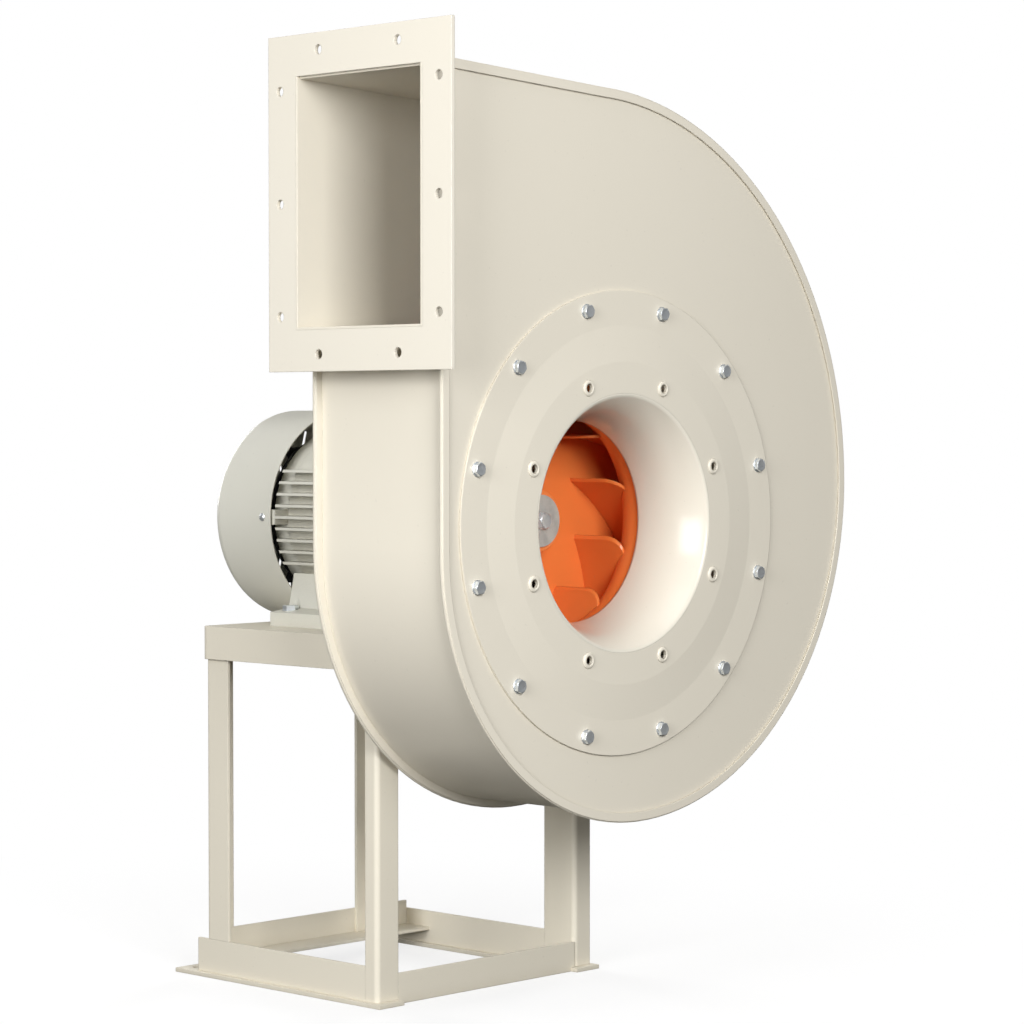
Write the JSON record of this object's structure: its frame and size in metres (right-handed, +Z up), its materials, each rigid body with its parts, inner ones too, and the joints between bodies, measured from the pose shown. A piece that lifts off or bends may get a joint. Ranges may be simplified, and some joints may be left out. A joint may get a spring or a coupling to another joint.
{
  "type": "industrial centrifugal blower",
  "caption": "Direct-drive centrifugal blower with a spiral sheet casing, round inlet, rectangular outlet flange, orange impeller and a foot-mounted motor on an angle pedestal.",
  "frame": {"origin": "middle of the rectangle of four anchor holes, on the floor plane under the sole plates", "axes": "+Z up; the shaft runs along Y at X 0 and Z 0.56 m, with the inlet facing -Y and the motor towards +Y; the outlet faces -X"},
  "size_m": [0.73, 0.611, 1.103],
  "materials": {
    "casing_paint": "semi-gloss cream powder coat",
    "flange_paint": "semi-gloss cream powder coat",
    "disc_paint": "semi-gloss cream powder coat",
    "cone_paint": "semi-gloss cream powder coat on a spun cone",
    "impeller_paint": "semi-gloss orange paint",
    "zinc": "bright zinc plate",
    "dark_steel": "oiled steel",
    "machined_steel": "ground steel",
    "core_steel": "varnished sheet stack",
    "winding_copper": "varnished copper wire",
    "motor_paint": "satin grey-beige paint on castings",
    "fan_plastic": "matt black moulding",
    "gland_plastic": "matt dark grey moulding",
    "pedestal_paint": "semi-gloss cream powder coat"
  },
  "bodies": {
    "housing": {"front_side_plate": "casing_paint", "back_side_plate": "casing_paint", "scroll_wrapper": "casing_paint", "cutoff_tongue": "casing_paint", "outlet_flange": "flange_paint", "inlet_disc": "disc_paint", "inlet_cone": "cone_paint", "inlet_disc_bolts": "zinc", "inlet_disc_nuts": "zinc", "shaft_seal_plate": "zinc", "seal_plate_screws": "zinc", "stator_core": "core_steel", "stator_windings": "winding_copper", "motor_frame": "motor_paint", "motor_feet": "motor_paint", "drive_end_shield": "motor_paint", "rear_end_shield": "motor_paint", "bearing_outer_rings": "machined_steel", "bearing_balls": "machined_steel", "fan_cowl": "motor_paint", "cowl_screws": "zinc", "terminal_box": "motor_paint", "terminal_lid": "motor_paint", "terminal_lid_screws": "zinc", "cable_gland": "gland_plastic", "motor_tray": "pedestal_paint", "post_near_left": "pedestal_paint", "post_rear_left": "pedestal_paint", "post_right": "pedestal_paint", "post_rear_right": "pedestal_paint", "side_rail_left": "pedestal_paint", "side_rail_right": "pedestal_paint", "cross_rail_front": "pedestal_paint", "cross_rail_rear": "pedestal_paint", "sole_plates": "pedestal_paint", "motor_foot_bolts": "zinc", "motor_foot_nuts": "zinc", "casing_spacers": "zinc", "casing_bolts": "zinc", "casing_nuts": "zinc"},
    "rotor": {"impeller_shroud": "impeller_paint", "impeller_blades": "impeller_paint", "impeller_back_disc": "impeller_paint", "impeller_hub": "impeller_paint", "hub_key": "dark_steel", "hub_washer": "dark_steel", "hub_bolt": "zinc", "motor_shaft": "machined_steel", "rotor_core": "core_steel", "bearing_inner_rings": "machined_steel", "cooling_fan": "fan_plastic"}
  },
  "joints": [
    {"name": "rotor_spin", "type": "hinge", "parent": "housing", "child": "rotor", "pos_m": [0, 0, 0.56], "axis": [0, -1, 0], "continuous": true}
  ]
}
